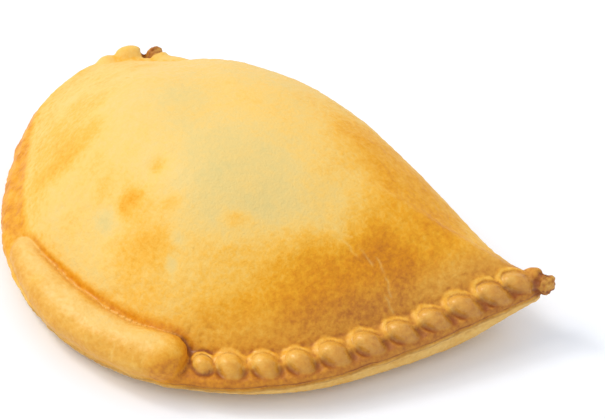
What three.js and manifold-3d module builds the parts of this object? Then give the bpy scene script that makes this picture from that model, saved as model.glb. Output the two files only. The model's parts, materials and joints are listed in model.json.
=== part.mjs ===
// A baked chicken hand pie, uncut: one disc of short dough folded over its filling. The fold makes the
// rounded back edge. The curved front edge is sealed by a seam that is pinched into beads on both sides and
// rolled over into a smooth band in the middle, and each end of the seam is closed with a small knob.
// Units are millimetres. X runs tip to tip, -Y is the seam side, +Z is up, and the pie rests on Z = 0.
import * as THREE from "three";
import { mergeVertices } from "three/addons/utils/BufferGeometryUtils.js";
import Module from "manifold-3d";

// The edge of the pie as points on smooth curves. The seam runs from the left tip round the front to the
// right tip, and climbs towards both. The fold runs back from the right tip to the left one.
const LEFT_TIP = [-64, -3, 11.5];
const RIGHT_TIP = [75, 0, 15];
const SEAM_POINTS = [
  LEFT_TIP,
  [-69.5, -8, 10.5],
  [-71.5, -22, 10],
  [-67.5, -40, 9.5],
  [-56.5, -57, 8.5],
  [-41.5, -73, 7],
  [-24, -83, 6],
  [-2, -87.5, 6],
  [19, -84.5, 6],
  [36.5, -75.5, 7],
  [52, -60, 8.5],
  [62.8, -38, 10.5],
  [70, -16, 12.7],
  RIGHT_TIP,
];
const FOLD_POINTS = [
  RIGHT_TIP,
  [60, -1.5, 15.5],
  [41, 2.5, 16.5],
  [8, 7, 17],
  [-28, 6, 17],
  [-51, 1.5, 14],
  LEFT_TIP,
];
const ORIGIN_SHIFT = [-2.1, 40.5, 0]; // moves the middle of the plan to the origin

// The dome. Its contours follow the edge, more and more rounded towards the crown.
const CROWN = new THREE.Vector3(0, -36, 40);
const ROUNDING = THREE.MathUtils.degToRad(26); // the turn round the crown over which corners are evened out
const ROUND_FADE = 3.5; // how late the rounded contours turn into the shape of the edge
const SEAM_DOME = { power: 2.1, turn: 1 }; // the higher the power, the fuller the dome
const FOLD_DOME = { power: 2.6, turn: 0.6 }; // the lower the turn, the rounder it turns over at its foot

// The pressed dough outside the dome: its width, how far its inner side stands above its edge, how thick
// the edge is, and how far the side of the pie starts inside it. On the left it droops.
const BEADED_BAND = { width: 8.5, rise: 2.6, thickness: 3, lip: 1.2 };
const DROOPING_BAND = { width: 4.6, rise: 5, thickness: 3, lip: 1.2 };
const FOLD_BAND = { width: 0.8, rise: 0.5, thickness: 0.5, lip: 0.05 };
// The two points between its inner side and its edge, as shares of its width and of its rise.
const BAND_SLOPE = [
  [0.5, 0.75],
  [0.1, 0.3],
];
const EDGE_DROP = 0.4; // its outermost line lies below its upper edge by this share of its thickness
const DROOP_START = [0, 24]; // it begins to droop at the left tip, and has drooped at this length from it
const DROOP_END = [84, 118]; // the drooping ends between these lengths
const BAND_FADE = 16; // length from a tip over which the pressed dough vanishes into the fold
const FOLD_FADE = 75; // and over which the dome takes the shape of the fold

// The side under the edge.
const SIDE_INSET = { least: 7, slope: 0.65 }; // the flat base stops inside the edge, more where it is high
const TIP_INSET = 13; // and this much further in at a tip
const TIP_REACH = 24; // over this length from the tip
const FOLD_INSET = 12; // the base's whole inset under the fold
const SIDE_POWERS = { left: 1.6, right: 2.6, tip: 1.6 }; // the higher, the fuller the side bulges
const FULLER_BETWEEN = [0.64, 0.82]; // shares of the way from left to right where the side grows fuller

// The beads, pinched between finger and thumb. Their start is the distance from the tip to the first one.
// Those next to the tip crowd together, by a share of the pitch in all. Their lean, in degrees away from the
// way out of the pie, and their middle's lift above the edge are given at the tip and at the roll. On the
// left they are a few shallow lobes that lie nearly along the edge. Each is at its longest at the tip, and
// rounder at the roll.
const LEFT_BEADS = { count: 4, start: 7, pitch: 9, crowding: 0, lean: [72, 66], lift: [3.1, 2.5] };
const RIGHT_BEADS = { count: 11, start: 6.8, pitch: 8.68, crowding: 0.48, lean: [54, 42], lift: [1.6, 1.6] };
const LONG_BEAD = { along: 4.5, across: 2.6, up: 2.3 }; // radii at the tip
const ROUND_BEAD = { along: 3.7, across: 3, up: 2.5 }; // and at the roll
const BEAD_UNEVENNESS = { amount: 0.08, step: 2.4 }; // share of its size, and the turn from bead to bead
const BEAD_INSET = [3.7, 5]; // from the edge to a bead's middle, at the tip and at the roll
const BEAD_DIP = THREE.MathUtils.degToRad(10); // of its outer end
const TUCKED_BEAD = { size: 0.72, back: 1.8 }; // the one half tucked under the roll, drawn back from it

// The band of dough that is rolled over in the middle of the seam. It is blunt at its right end.
const ROLL_MIDDLE = 1; // from the middle of the seam, along it
const ROLL_HALF_LENGTH = 34;
const ROLL_RADII = { across: 6, up: 5 };
const ROLL_INSET = 5.2;
const ROLL_LIFT = 2.2; // of its middle above the edge
const ROLL_TAPER = 0.3; // lost from its size towards its left end

// The knob at each tip, and the collar of dough that it is twisted from: radii, and place past the tip.
const KNOB = { radii: [2.1, 3, 3.5], reach: -1.4, back: 0.6 };
const COLLAR = { radii: [3.6, 2.9, 2.8], reach: -4, back: 1 };

// Broad lumps where the filling lifts the crust: place, radius and height. They fade at the dome's foot.
const LUMPS = [
  { x: -30, y: -42, radius: 15, height: 1.4 },
  { x: 12, y: -56, radius: 17, height: 1.2 },
  { x: 38, y: -24, radius: 14, height: 1 },
  { x: -8, y: -36, radius: 9, height: -0.9 },
];
const LUMP_FADE = 4; // the higher, the closer to the foot

// How finely the curved faces are cut.
const SEAM_COLUMNS = 80;
const FOLD_COLUMNS = 36;
const DOME_ROWS = 13;
const BAND_ROWS = BAND_SLOPE.length + 1;
const SIDE_ROWS = 6;
const ROLL_CUTS = { cap: 6, around: 16, along: 20 };
const BEAD_CUTS = [12, 8];
const KNOB_CUTS = [16, 10];
const SAME_POINT = 1e-4; // points closer than this are one

const { lerp, smoothstep } = THREE.MathUtils;
const UP = new THREE.Vector3(0, 0, 1);

function curveThrough(points) {
  return new THREE.CatmullRomCurve3(points.map((point) => new THREE.Vector3(...point)));
}
const seam = curveThrough(SEAM_POINTS);
const fold = curveThrough(FOLD_POINTS);
const SEAM_LENGTH = seam.getLength();

// How much the band droops, from 0 to 1, at a distance from the left tip along the seam.
function droop(distance) {
  return smoothstep(distance, ...DROOP_START) * (1 - smoothstep(distance, ...DROOP_END));
}

// The edge at a distance from the left tip along the seam, and the level direction out of the pie there.
function seamPlace(distance) {
  const share = distance / SEAM_LENGTH;
  const along = seam.getTangentAt(share);
  return { point: seam.getPointAt(share), outwards: new THREE.Vector3(along.y, -along.x, 0).normalize() };
}

// How much the filling lifts the crust at a place in plan.
function lumpHeight(x, y) {
  const away = (lump) => Math.hypot(x - lump.x, y - lump.y) / lump.radius;
  return LUMPS.reduce((sum, lump) => sum + lump.height * Math.exp(-(away(lump) ** 2)), 0);
}

// Steps from 0 to 1, both included.
function steps(count) {
  return Array.from({ length: count }, (_, index) => index / (count - 1));
}

// A set of sizes part of the way from one set to another.
function mix(from, to, weight) {
  return Object.fromEntries(Object.keys(from).map((name) => [name, lerp(from[name], to[name], weight)]));
}

// The outline seen from the crown: for each column, the direction and reach of the edge, and the sizes of
// the section there. Columns start at the left tip and go round by the seam.
const outline = Array.from({ length: SEAM_COLUMNS + FOLD_COLUMNS }, (_, column) => {
  const onSeam = column < SEAM_COLUMNS;
  const curve = onSeam ? seam : fold;
  const share = onSeam ? column / SEAM_COLUMNS : (column - SEAM_COLUMNS) / FOLD_COLUMNS;
  const edge = curve.getPointAt(share);
  const direction = new THREE.Vector2(edge.x - CROWN.x, edge.y - CROWN.y);
  const reach = direction.length();
  const fromTip = Math.min(share, 1 - share) * curve.getLength();
  const band = onSeam
    ? mix(BEADED_BAND, DROOPING_BAND, droop(share * SEAM_LENGTH))
    : mix(BEADED_BAND, FOLD_BAND, smoothstep(fromTip, 0, BAND_FADE));
  const folded = onSeam ? 0 : smoothstep(fromTip, 0, FOLD_FADE);
  const fuller = smoothstep(onSeam ? share : 1 - share, ...FULLER_BETWEEN);
  return { direction: direction.normalize(), reach, height: edge.z, fromTip, band, folded, fuller };
});

// The reach of the dome's foot in a direction from the crown, evened out over its neighbours.
function roundedFoot(direction) {
  let weights = 0;
  let sum = 0;
  outline.forEach((column, index) => {
    const next = outline[(index + 1) % outline.length];
    const span = column.direction.angleTo(next.direction);
    const weight = span * Math.exp(-((direction.angleTo(column.direction) / ROUNDING) ** 2));
    weights += weight;
    sum += weight * (column.reach - column.band.width);
  });
  return sum / weights;
}

// A section of the body, from the crown out to the edge and under to the middle of the base, as pairs of
// distance from the crown's axis and height.
function section({ direction, reach, height, fromTip, band, folded, fuller }) {
  const dome = mix(SEAM_DOME, FOLD_DOME, folded);
  const foot = reach - band.width;
  const rounded = roundedFoot(direction);
  const domeRows = steps(DOME_ROWS).map((step) => {
    const out = Math.sin((Math.PI / 2) * step);
    const fall = (1 - out ** dome.power) ** dome.turn;
    return [out * lerp(rounded, foot, out ** ROUND_FADE), lerp(height + band.rise, CROWN.z, fall)];
  });
  const bandRows = BAND_SLOPE.map(([across, up]) => [reach - across * band.width, height + up * band.rise]);
  bandRows.push([reach, height - EDGE_DROP * band.thickness]);
  const atTip = 1 - smoothstep(fromTip, 0, TIP_REACH);
  const power = lerp(lerp(SIDE_POWERS.left, SIDE_POWERS.right, fuller), SIDE_POWERS.tip, atTip);
  const sideInset = SIDE_INSET.least + SIDE_INSET.slope * height;
  const inset = lerp(sideInset, FOLD_INSET, folded) + TIP_INSET * atTip;
  const sideRows = steps(SIDE_ROWS).map((step) => {
    const down = Math.sin((Math.PI / 2) * step);
    const curl = 1 - (1 - down ** power) ** (1 / power);
    return [reach - band.lip - inset * curl, (height - band.thickness) * (1 - down)];
  });
  return [...domeRows, ...bandRows, ...sideRows, [0, 0]];
}

// The body of the pie: a turned form whose points are moved out to the shape of the edge.
function bodyGeometry() {
  const rowCount = DOME_ROWS + BAND_ROWS + SIDE_ROWS + 1;
  const turned = steps(rowCount).map((step) => Math.PI * step);
  const geometry = new THREE.LatheGeometry(
    turned.map((turn) => new THREE.Vector2(Math.sin(turn), -Math.cos(turn))),
    outline.length,
  );
  const position = geometry.getAttribute("position");
  [...outline, outline[0]].forEach((column, index) => {
    section(column).forEach(([distance, height], row) => {
      const x = CROWN.x + column.direction.x * distance;
      const y = CROWN.y + column.direction.y * distance;
      const lift = row < DOME_ROWS ? lumpHeight(x, y) * (1 - (row / DOME_ROWS) ** LUMP_FADE) : 0;
      position.setXYZ(index * rowCount + (rowCount - 1 - row), x, y, height + lift);
    });
  });
  return geometry;
}

// A sphere stretched to three radii.
function ovalGeometry(radii, cuts) {
  return new THREE.SphereGeometry(1, ...cuts).scale(...radii);
}

// Beads count from each tip towards the roll, by side: -1 from the left tip, 1 from the right one.
function beadGeometry(index, side) {
  const { count, start, pitch, crowding, lean, lift } = side > 0 ? RIGHT_BEADS : LEFT_BEADS;
  const tucked = side > 0 && index === count - 1;
  const crowded = index - crowding * (1 - 0.5 ** index);
  const fromTip = start + pitch * crowded - (tucked ? TUCKED_BEAD.back : 0);
  const distance = side > 0 ? SEAM_LENGTH - fromTip : fromTip;
  const { point, outwards } = seamPlace(distance);
  const wave = Math.abs(Math.sin(BEAD_UNEVENNESS.step * index + side));
  const size = tucked ? TUCKED_BEAD.size : 1 - BEAD_UNEVENNESS.amount * wave;
  const toRoll = index / (count - 1);
  const turn = THREE.MathUtils.degToRad(lerp(...lean, toRoll));
  const inset = lerp(...BEAD_INSET, toRoll);
  const middle = point.addScaledVector(outwards, -inset).addScaledVector(UP, lerp(...lift, toRoll));
  const frame = new THREE.Matrix4().makeBasis(outwards, UP.clone().cross(outwards), UP).setPosition(middle);
  const { along, across, up } = mix(LONG_BEAD, ROUND_BEAD, toRoll);
  return ovalGeometry([along, across, up], BEAD_CUTS)
    .scale(size, size, size)
    .rotateY(BEAD_DIP)
    .rotateZ(side * turn)
    .applyMatrix4(frame);
}

// The rolled-over band: a capsule bent along the middle of the seam, and thinner towards its left end.
function rollGeometry() {
  const { across, up } = ROLL_RADII;
  const { cap, around, along } = ROLL_CUTS;
  const geometry = new THREE.CapsuleGeometry(across, 2 * (ROLL_HALF_LENGTH - across), cap, around, along);
  const position = geometry.getAttribute("position");
  const local = new THREE.Vector3();
  for (let index = 0; index < position.count; index++) {
    local.fromBufferAttribute(position, index);
    const size = 1 - ROLL_TAPER * smoothstep(-local.y, 0, ROLL_HALF_LENGTH);
    const { point, outwards } = seamPlace(SEAM_LENGTH / 2 + ROLL_MIDDLE + local.y);
    point.addScaledVector(outwards, local.x * size - ROLL_INSET);
    point.z += ROLL_LIFT + local.z * size * (up / across);
    position.setXYZ(index, point.x, point.y, point.z);
  }
  return geometry;
}

// A knob or its collar at one tip.
function tipGeometry({ radii, reach, back }, tip) {
  const [x, y, z] = tip;
  return ovalGeometry(radii, KNOB_CUTS).translate(x + Math.sign(x) * reach, y - back, z);
}

// Joining: a closed geometry as a solid, and a solid as a geometry.
const wasm = await Module();
wasm.setup();

function solidFrom(geometry) {
  const bare = geometry.clone();
  bare.deleteAttribute("normal");
  bare.deleteAttribute("uv");
  const merged = mergeVertices(bare, SAME_POINT);
  return new wasm.Manifold(
    new wasm.Mesh({
      numProp: 3,
      vertProperties: new Float32Array(merged.getAttribute("position").array),
      triVerts: new Uint32Array(merged.index.array),
    }),
  );
}

function geometryFrom(solid) {
  const mesh = solid.getMesh();
  const geometry = new THREE.BufferGeometry();
  geometry.setAttribute("position", new THREE.BufferAttribute(new Float32Array(mesh.vertProperties), 3));
  geometry.setIndex(new THREE.BufferAttribute(new Uint32Array(mesh.triVerts), 1));
  geometry.computeVertexNormals();
  return geometry;
}

const pieces = [bodyGeometry(), rollGeometry()];
for (const tip of [LEFT_TIP, RIGHT_TIP]) {
  pieces.push(tipGeometry(KNOB, tip), tipGeometry(COLLAR, tip));
}
for (let index = 0; index < LEFT_BEADS.count; index++) {
  pieces.push(beadGeometry(index, -1));
}
for (let index = 0; index < RIGHT_BEADS.count; index++) {
  pieces.push(beadGeometry(index, 1));
}
const pieSolid = pieces.map(solidFrom).reduce((joined, piece) => joined.add(piece));

const handPie = new THREE.Mesh(
  geometryFrom(pieSolid),
  new THREE.MeshStandardMaterial({ color: 0xe3ad4c, roughness: 0.5, metalness: 0 }),
);
handPie.name = "hand_pie";

const whole = new THREE.Group();
whole.add(handPie);
whole.position.set(...ORIGIN_SHIFT);

export default whole;
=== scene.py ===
# %% [markdown]
# # A baked chicken hand pie, modelled and finished
#
# The pie is one disc of short dough, folded over its filling, sealed along the curved edge and baked with an
# egg wash. This lesson builds its crust as one closed mesh: first the big forms from named sizes, then the
# folds and creases that hands leave in dough, then the colours that the oven gives it.

# %% Open the frame
import json
import math

import bpy
import numpy as np
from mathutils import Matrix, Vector, noise
from mathutils.kdtree import KDTree

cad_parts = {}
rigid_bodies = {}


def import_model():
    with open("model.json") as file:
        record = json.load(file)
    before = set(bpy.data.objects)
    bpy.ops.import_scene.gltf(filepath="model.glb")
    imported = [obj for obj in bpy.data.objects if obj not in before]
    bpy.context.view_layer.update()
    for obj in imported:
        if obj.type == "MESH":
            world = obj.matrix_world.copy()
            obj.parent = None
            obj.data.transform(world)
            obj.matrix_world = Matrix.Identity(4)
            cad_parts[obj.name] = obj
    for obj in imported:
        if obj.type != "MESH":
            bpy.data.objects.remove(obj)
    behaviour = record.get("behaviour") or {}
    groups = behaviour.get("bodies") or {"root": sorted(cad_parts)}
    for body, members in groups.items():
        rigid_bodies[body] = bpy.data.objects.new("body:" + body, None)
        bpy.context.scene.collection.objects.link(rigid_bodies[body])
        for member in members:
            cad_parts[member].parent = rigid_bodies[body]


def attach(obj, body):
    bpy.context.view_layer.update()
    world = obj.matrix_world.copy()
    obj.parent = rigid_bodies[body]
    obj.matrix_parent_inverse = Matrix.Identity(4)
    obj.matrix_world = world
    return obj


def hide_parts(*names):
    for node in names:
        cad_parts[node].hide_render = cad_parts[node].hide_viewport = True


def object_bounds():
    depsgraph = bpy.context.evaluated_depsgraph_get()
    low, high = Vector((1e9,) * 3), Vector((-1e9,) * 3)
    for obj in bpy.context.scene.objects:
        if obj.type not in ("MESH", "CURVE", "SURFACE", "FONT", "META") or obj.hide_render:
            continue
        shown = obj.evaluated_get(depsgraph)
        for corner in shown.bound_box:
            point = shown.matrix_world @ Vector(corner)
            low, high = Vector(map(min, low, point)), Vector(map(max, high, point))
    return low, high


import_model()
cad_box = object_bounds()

MM = 0.001  # every size below is in millimetres, and becomes metres when a mesh is made
print("the solid pie spans", [round((high - low) / MM, 1) for low, high in zip(*cad_box)], "mm")

# %% [markdown]
# ## The camera comes first
#
# The pie was photographed from its right front corner, a little above it, with a long lens that hardly
# narrows towards the back. A camera could be placed by eye and nudged. Here its direction, its distance and
# its lens are three named values, so that every later choice is judged in the same frame.

# %% Camera
CAMERA_DIRECTION = Vector((0.551, -0.532, 0.643)).normalized()  # from the pie towards the camera
CAMERA_DISTANCE = 505
CAMERA_TARGET = Vector((10.4, 20.0, 12.6))
CAMERA_LENS = 122.1  # focal length, for a sensor as wide as the next line says
CAMERA_SENSOR = 36


def add_camera():
    data = bpy.data.cameras.new("studio_camera")
    data.lens = CAMERA_LENS
    data.sensor_width = CAMERA_SENSOR
    data.clip_start = 0.01
    camera = bpy.data.objects.new("studio_camera", data)
    camera.location = (CAMERA_TARGET + CAMERA_DIRECTION * CAMERA_DISTANCE) * MM
    camera.rotation_euler = (-CAMERA_DIRECTION).to_track_quat("-Z", "Y").to_euler()
    bpy.context.scene.collection.objects.link(camera)
    bpy.context.scene.camera = camera
    return camera


camera = add_camera()
print("camera at", [round(value, 3) for value in camera.location])

# %% [markdown]
# ## The two edge lines
#
# Everything hangs on the edge of the folded disc. The seam runs from the left tip round the front to the
# right tip, and the fold runs back. Bezier curves with handles would do, but a curve that simply passes
# through a few points is easier to set against a real pie, so each edge is such a curve, and any distance
# along it can be asked for.

# %% Edge lines
LEFT_TIP = (-64, -3, 11.5)
RIGHT_TIP = (75, 0, 15)
SEAM_POINTS = [
    LEFT_TIP,
    (-69.5, -8, 10.5),
    (-71.5, -22, 10),
    (-67.5, -40, 9.5),
    (-56.5, -57, 8.5),
    (-41.5, -73, 7),
    (-24, -83, 6),
    (-2, -87.5, 6),
    (19, -84.5, 6),
    (36.5, -75.5, 7),
    (52, -60, 8.5),
    (62.8, -38, 10.5),
    (70, -16, 12.7),
    RIGHT_TIP,
]
FOLD_POINTS = [
    RIGHT_TIP,
    (60, -1.5, 15.5),
    (41, 2.5, 16.5),
    (8, 7, 17),
    (-28, 6, 17),
    (-51, 1.5, 14),
    LEFT_TIP,
]
ORIGIN_SHIFT = np.array([-2.1, 40.5, 0])  # moves the middle of the plan to the origin
SLOPE_STEP = 0.1  # the slope of a line at a place is taken over this much on either side


class EdgeLine:
    """A smooth curve through points, read by the distance along it."""

    def __init__(self, points, cuts=200):
        points = np.array(points, float) + ORIGIN_SHIFT
        ends = np.vstack([2 * points[0] - points[1], points, 2 * points[-1] - points[-2]])
        share = np.linspace(0, 1, cuts, endpoint=False)[:, None]
        path = [self.between(*ends[i : i + 4], share) for i in range(len(points) - 1)]
        self.path = np.vstack([*path, points[-1:]])
        steps = np.linalg.norm(np.diff(self.path, axis=0), axis=1)
        self.distances = np.concatenate([[0], np.cumsum(steps)])
        self.length = self.distances[-1]

    @staticmethod
    def between(before, start, end, after, share):
        """The stretch from start to end, with the slopes that the points before and after ask for."""
        spans = ((before, start), (start, end), (end, after))
        first, middle, last = (np.linalg.norm(b - a) ** 0.5 for a, b in spans)
        leave = (start - before) / first - (end - before) / (first + middle) + (end - start) / middle
        arrive = (end - start) / middle - (after - start) / (middle + last) + (after - end) / last
        cubic = 2 * share**3 - 3 * share**2
        return (
            start * (cubic + 1)
            + end * -cubic
            + leave * middle * (share**3 - 2 * share**2 + share)
            + arrive * middle * (share**3 - share**2)
        )

    def at(self, distance):
        axes = [np.interp(distance, self.distances, self.path[:, axis]) for axis in range(3)]
        return np.stack(axes, axis=-1)

    def outwards(self, distance):
        """The level direction out of the pie."""
        along = self.at(np.add(distance, SLOPE_STEP)) - self.at(np.subtract(distance, SLOPE_STEP))
        out = np.stack([along[..., 1], -along[..., 0], np.zeros_like(along[..., 0])], axis=-1)
        return out / np.linalg.norm(out, axis=-1, keepdims=True)


seam = EdgeLine(SEAM_POINTS)
fold = EdgeLine(FOLD_POINTS)
print(f"the seam is {seam.length:.0f} mm long and the fold {fold.length:.0f} mm")

# %% [markdown]
# ## The body
#
# The filled body is a dome with a pressed rim. A subdivision cage is the usual way to model it, but its rim
# has to follow the two edge lines closely. So the body is a turned form instead: a section is drawn from the
# crown out to the edge and under to the base, once for each of many columns round the pie. The section
# changes on the way: the rim is broad where it is pinched, droops on the left, and vanishes at the fold.

# %% Small helpers for blending sizes
def smooth_step(value, start, end):
    share = np.clip((np.asarray(value, float) - start) / (end - start), 0, 1)
    return share * share * (3 - 2 * share)


def blend(first, second, share):
    return first + (second - first) * share


def blend_sizes(first, second, share):
    return {name: blend(first[name], second[name], share) for name in first}


# %% Sizes of the body
CROWN = np.array([0, -36, 40]) + ORIGIN_SHIFT
ROUNDING = math.radians(26)  # the turn round the crown over which corners are evened out
ROUND_FADE = 3.5  # how late the rounded contours turn into the shape of the edge
SEAM_DOME = {"power": 2.1, "turn": 1.0}  # the higher the power, the fuller the dome
FOLD_DOME = {"power": 2.6, "turn": 0.6}  # the lower the turn, the rounder it turns over at its foot
BEADED_BAND = {"width": 8.5, "rise": 2.6, "thickness": 3.0, "lip": 1.2}
DROOPING_BAND = {"width": 4.6, "rise": 5.0, "thickness": 3.0, "lip": 1.2}
FOLD_BAND = {"width": 0.8, "rise": 0.5, "thickness": 0.5, "lip": 0.05}
DROOP_START = (0, 24)  # the band begins to droop at the left tip, and has drooped at this length from it
DROOP_END = (84, 118)  # the drooping ends between these lengths
BAND_FADE = 16  # length from a tip over which the pressed dough vanishes into the fold
FOLD_FADE = 75  # and over which the dome takes the shape of the fold
SIDE_INSET = {"least": 7, "slope": 0.65}  # the flat base stops inside the edge, more where it is high
TIP_INSET = 13  # and this much further in at a tip
TIP_REACH = 24
FOLD_INSET = 12
SIDE_POWERS = {"left": 1.6, "right": 2.6, "tip": 1.6}
FULLER_BETWEEN = (0.64, 0.82)
LUMPS = [
    # x, y, radius, height
    (-30, -42, 15, 1.4),
    (12, -56, 17, 1.2),
    (38, -24, 14, 1.0),
    (-8, -36, 9, -0.9),
]
GROOVE = {"depth": 1.1, "below": 1.0}  # the line between the two layers of dough, under the edge


def droop(distance):
    return smooth_step(distance, *DROOP_START) * (1 - smooth_step(distance, *DROOP_END))


# %% The columns round the pie
SEAM_COLUMNS = 620
FOLD_COLUMNS = 260


def rim_columns():
    """The edge as seen from the crown, and the sizes of the section at each column."""
    seam_share = np.arange(SEAM_COLUMNS) / SEAM_COLUMNS
    fold_share = np.arange(FOLD_COLUMNS) / FOLD_COLUMNS
    edge = np.vstack([seam.at(seam_share * seam.length), fold.at(fold_share * fold.length)])
    share = np.concatenate([seam_share, 1 - fold_share])
    length = np.repeat([seam.length, fold.length], [SEAM_COLUMNS, FOLD_COLUMNS])
    on_seam = np.arange(len(share)) < SEAM_COLUMNS
    from_tip = np.minimum(share, 1 - share) * length
    fading = smooth_step(from_tip, 0, BAND_FADE)
    seam_band = blend_sizes(BEADED_BAND, DROOPING_BAND, droop(share * seam.length))
    fold_band = blend_sizes(BEADED_BAND, FOLD_BAND, fading)
    band = {name: np.where(on_seam, seam_band[name], fold_band[name]) for name in BEADED_BAND}
    away = edge[:, :2] - CROWN[:2]
    reach = np.linalg.norm(away, axis=1)
    return {
        "direction": away / reach[:, None],
        "reach": reach,
        "height": edge[:, 2],
        "from_tip": from_tip,
        "band": band,
        "folded": np.where(on_seam, 0, smooth_step(from_tip, 0, FOLD_FADE)),
        "fuller": smooth_step(share, *FULLER_BETWEEN),
    }


rim = rim_columns()
print(f"{len(rim['reach'])} columns, {rim['reach'].min():.0f} to {rim['reach'].max():.0f} mm from the crown")

# %% The section, row by row
DOME_ROWS = 110
BAND_ROWS = 7  # between each two points of the band's section
SIDE_ROWS = 26


def rounded_foot():
    """The reach of the dome's foot, evened out over the neighbouring directions."""
    angle = np.arctan2(rim["direction"][:, 1], rim["direction"][:, 0])
    turn = np.abs((angle[:, None] - angle[None, :] + math.pi) % (2 * math.pi) - math.pi)
    span = np.abs((np.roll(angle, -1) - angle + math.pi) % (2 * math.pi) - math.pi)
    weight = span * np.exp(-((turn / ROUNDING) ** 2))
    foot = rim["reach"] - rim["band"]["width"]
    return (weight * foot).sum(axis=1) / weight.sum(axis=1)


def dome_rows():
    dome = blend_sizes(SEAM_DOME, FOLD_DOME, rim["folded"])
    band, reach, height = rim["band"], rim["reach"], rim["height"]
    foot = reach - band["width"]
    evened = rounded_foot()
    out = np.sin(np.linspace(0, math.pi / 2, DOME_ROWS))[:, None]
    fall = (1 - out ** dome["power"]) ** dome["turn"]
    return out * blend(evened, foot, out**ROUND_FADE), blend(height + band["rise"], CROWN[2], fall)


def band_rows():
    """From the dome's foot down the pinched band, round the edge and into the groove between the layers."""
    band, reach, height = rim["band"], rim["reach"], rim["height"]
    thickness = band["thickness"]
    layered = thickness / BEADED_BAND["thickness"]
    points = [
        # shares of the band's own sizes, from its inner side out and down
        (reach - band["width"], height + band["rise"]),
        (reach - 0.5 * band["width"], height + 0.75 * band["rise"]),
        (reach - 0.1 * band["width"], height + 0.3 * band["rise"]),
        (reach, height - 0.3 * thickness),
        (reach - GROOVE["depth"] * layered, height - 0.3 * thickness - GROOVE["below"] * layered),
        (reach - 0.55 * band["lip"], height - thickness),
    ]
    share = np.linspace(0, 1, BAND_ROWS, endpoint=False)[1:, None]
    rows = [(blend(a[0], b[0], share), blend(a[1], b[1], share)) for a, b in zip(points, points[1:])]
    corners = [(distance[None], level[None]) for distance, level in points[1:]]
    ordered = [row for pair in zip(rows, corners) for row in pair]
    return tuple(np.vstack([row[axis] for row in ordered]) for axis in range(2))


def side_rows():
    band, reach, height = rim["band"], rim["reach"], rim["height"]
    at_tip = 1 - smooth_step(rim["from_tip"], 0, TIP_REACH)
    power = blend(blend(SIDE_POWERS["left"], SIDE_POWERS["right"], rim["fuller"]), SIDE_POWERS["tip"], at_tip)
    side_inset = SIDE_INSET["least"] + SIDE_INSET["slope"] * height
    inset = blend(side_inset, FOLD_INSET, rim["folded"]) + TIP_INSET * at_tip
    down = np.sin(np.linspace(0, math.pi / 2, SIDE_ROWS))[1:, None]
    curl = 1 - (1 - down**power) ** (1 / power)
    return reach - band["lip"] - inset * curl, (height - band["thickness"]) * (1 - down)


rows = [dome_rows(), band_rows(), side_rows()]
print("rows in a section:", [len(row[0]) for row in rows])

# %% From the sections to a closed mesh
ROUNDING_PASSES = 60
LOOSE_UNTIL = 8  # the higher, the nearer to the foot the dome's rows are still evened out
LUMPS_UNTIL = 4  # and the nearer to it the lumps still show


def lump_height(x, y):
    total = 0
    for lump_x, lump_y, radius, height in LUMPS:
        away = ((x - lump_x - ORIGIN_SHIFT[0]) ** 2 + (y - lump_y - ORIGIN_SHIFT[1]) ** 2) / radius**2
        total = total + height * np.exp(-away)
    return total


def body_mesh():
    distance = np.vstack([row[0] for row in rows])
    level = np.vstack([row[1] for row in rows])
    x = CROWN[0] + rim["direction"][:, 0] * distance
    y = CROWN[1] + rim["direction"][:, 1] * distance
    row = np.arange(DOME_ROWS)[:, None] / DOME_ROWS
    level[:DOME_ROWS] += lump_height(x[:DOME_ROWS], y[:DOME_ROWS]) * (1 - row**LUMPS_UNTIL)
    grid = np.stack([x, y, level], axis=-1)
    loosen = (1 - row**LOOSE_UNTIL)[..., None] / 2
    for _ in range(ROUNDING_PASSES):
        dome = grid[:DOME_ROWS]
        dome += loosen * ((np.roll(dome, 1, axis=1) + np.roll(dome, -1, axis=1)) / 2 - dome)
    count = grid.shape[1]
    top, base = grid[0].mean(axis=0), np.array([CROWN[0], CROWN[1], 0])
    points = np.vstack([grid[1:].reshape(-1, 3), top, base])
    ring = np.arange(count)
    after = np.roll(ring, -1)
    faces = []
    for number in range(len(grid) - 2):
        here, below = number * count, (number + 1) * count
        faces += np.stack([here + ring, below + ring, below + after, here + after], axis=1).tolist()
    crown_index, base_index = len(points) - 2, len(points) - 1
    last = (len(grid) - 2) * count
    faces += np.stack([np.full(count, crown_index), ring, after], axis=1).tolist()
    faces += np.stack([last + after, last + ring, np.full(count, base_index)], axis=1).tolist()
    return points, faces


body_points, body_faces = body_mesh()
print("body:", len(body_points), "points", len(body_faces), "faces")

# %% [markdown]
# ## The rolled-over band
#
# In the middle of the seam the pressed rim is rolled up and over into one smooth sausage of dough, thick and
# blunt at its right end and thinner towards the left. A bevelled curve gives such a tube quickly, but its
# ends are hard to shape, so a capsule is bent along the seam instead, as a baker bends a rope of dough.

# %% Rolled band
ROLL_MIDDLE = 1  # from the middle of the seam, along it
ROLL_HALF_LENGTH = 34
ROLL_RADII = {"across": 6, "up": 5}
ROLL_INSET = 5.2
ROLL_LIFT = 2.2
ROLL_TAPER = 0.3  # lost from its size towards its left end
ROLL_CUTS = {"along": 170, "around": 84, "crowding": 1.35}  # the cuts crowd towards the blunt ends


def tube_faces(rings, around):
    """Faces between neighbouring rings of points, and a fan at each end, whose points come last."""
    ring = np.arange(around)
    after = np.roll(ring, -1)
    faces = []
    for number in range(rings - 1):
        here, beyond = number * around, (number + 1) * around
        faces += np.stack([here + ring, here + after, beyond + after, beyond + ring], axis=1).tolist()
    first, last = rings * around, rings * around + 1
    end = (rings - 1) * around
    faces += np.stack([np.full(around, first), after, ring], axis=1).tolist()
    faces += np.stack([end + ring, end + after, np.full(around, last)], axis=1).tolist()
    return faces


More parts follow.
